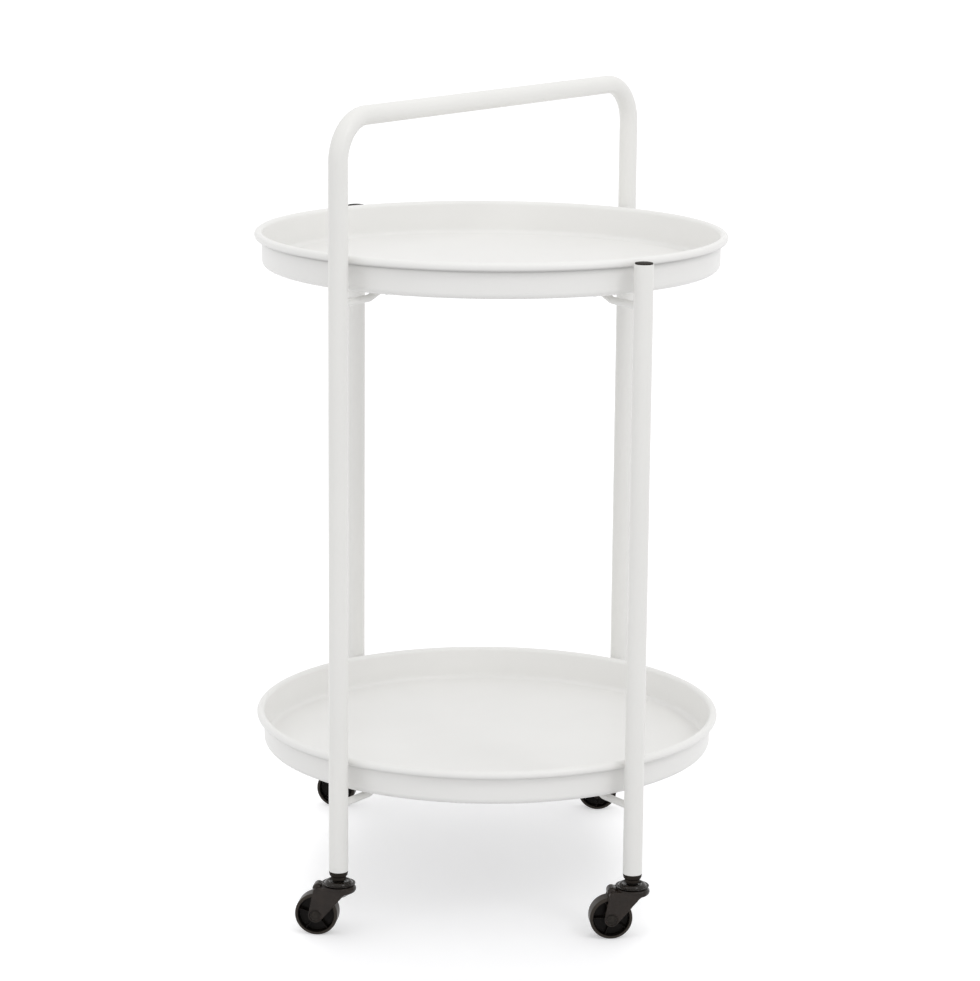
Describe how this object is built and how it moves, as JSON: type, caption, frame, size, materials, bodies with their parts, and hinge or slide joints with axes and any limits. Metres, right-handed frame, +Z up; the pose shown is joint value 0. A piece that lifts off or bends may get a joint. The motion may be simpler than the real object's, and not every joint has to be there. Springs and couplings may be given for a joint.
{
  "type": "bar cart",
  "caption": "Round two-tier serving cart: dish trays with rolled rims on a tube frame, a diagonal handle over the upper tray, and swivel casters.",
  "frame": {"origin": "on the floor, under the common axis of the two trays", "axes": "+Z up, -Y to the front, where the picture is taken from, +X to the right in the picture"},
  "size_m": [0.45, 0.45, 0.768],
  "materials": {
    "frame_white": "white powder coat, satin",
    "tray_white": "white powder coat, satin",
    "black_plastic": "satin",
    "cup_black": "gloss black lacquer",
    "fork_black": "semi-gloss",
    "wheel_black": "semi-gloss",
    "zinc": "zinc plated",
    "black_steel": "blackened steel",
    "ball_steel": "polished"
  },
  "bodies": {
    "cart": {"handle_frame": "frame_white", "front_right_leg": "frame_white", "rear_left_leg": "frame_white", "front_right_leg_cap": "black_plastic", "rear_left_leg_cap": "black_plastic", "upper_tray": "tray_white", "lower_tray": "tray_white", "upper_handle_side_rod": "frame_white", "lower_handle_side_rod": "frame_white", "upper_straight_side_rod": "frame_white", "lower_straight_side_rod": "frame_white", "upper_tray_studs": "zinc", "lower_tray_studs": "zinc", "upper_tray_washers": "zinc", "lower_tray_washers": "zinc", "upper_tray_nuts": "zinc", "lower_tray_nuts": "zinc", "front_left_socket": "black_plastic", "front_left_stem": "black_steel", "front_left_race_cup": "cup_black", "front_left_balls": "ball_steel", "front_right_socket": "black_plastic", "front_right_stem": "black_steel", "front_right_race_cup": "cup_black", "front_right_balls": "ball_steel", "rear_left_socket": "black_plastic", "rear_left_stem": "black_steel", "rear_left_race_cup": "cup_black", "rear_left_balls": "ball_steel", "rear_right_socket": "black_plastic", "rear_right_stem": "black_steel", "rear_right_race_cup": "cup_black", "rear_right_balls": "ball_steel"},
    "front_left_swivel": {"front_left_fork": "fork_black", "front_left_axle": "black_steel"},
    "front_left_roller": {"front_left_wheel": "wheel_black"},
    "front_right_swivel": {"front_right_fork": "fork_black", "front_right_axle": "black_steel"},
    "front_right_roller": {"front_right_wheel": "wheel_black"},
    "rear_left_swivel": {"rear_left_fork": "fork_black", "rear_left_axle": "black_steel"},
    "rear_left_roller": {"rear_left_wheel": "wheel_black"},
    "rear_right_swivel": {"rear_right_fork": "fork_black", "rear_right_axle": "black_steel"},
    "rear_right_roller": {"rear_right_wheel": "wheel_black"}
  },
  "joints": [
    {"name": "front_left_caster_turn", "type": "hinge", "parent": "cart", "child": "front_left_swivel", "pos_m": [-0.13651, -0.19496, 0.045], "axis": [0, 0, 1], "continuous": true},
    {"name": "front_left_wheel_roll", "type": "hinge", "parent": "front_left_swivel", "child": "front_left_roller", "pos_m": [-0.15636, -0.19252, 0.02], "axis": [0.1219, 0.9925, 0], "continuous": true},
    {"name": "front_right_caster_turn", "type": "hinge", "parent": "cart", "child": "front_right_swivel", "pos_m": [0.13651, -0.19496, 0.045], "axis": [0, 0, 1], "continuous": true},
    {"name": "front_right_wheel_roll", "type": "hinge", "parent": "front_right_swivel", "child": "front_right_roller", "pos_m": [0.11659, -0.1967, 0.02], "axis": [-0.0872, 0.9962, 0], "continuous": true},
    {"name": "rear_left_caster_turn", "type": "hinge", "parent": "cart", "child": "rear_left_swivel", "pos_m": [-0.13651, 0.19496, 0.045], "axis": [0, 0, 1], "continuous": true},
    {"name": "rear_left_wheel_roll", "type": "hinge", "parent": "rear_left_swivel", "child": "rear_left_roller", "pos_m": [-0.15632, 0.19774, 0.02], "axis": [0.1392, 0.9903, 0], "continuous": true},
    {"name": "rear_right_caster_turn", "type": "hinge", "parent": "cart", "child": "rear_right_swivel", "pos_m": [0.13651, 0.19496, 0.045], "axis": [0, 0, 1], "continuous": true},
    {"name": "rear_right_wheel_roll", "type": "hinge", "parent": "rear_right_swivel", "child": "rear_right_roller", "pos_m": [0.11656, 0.19635, 0.02], "axis": [0.0698, 0.9976, 0], "continuous": true}
  ]
}
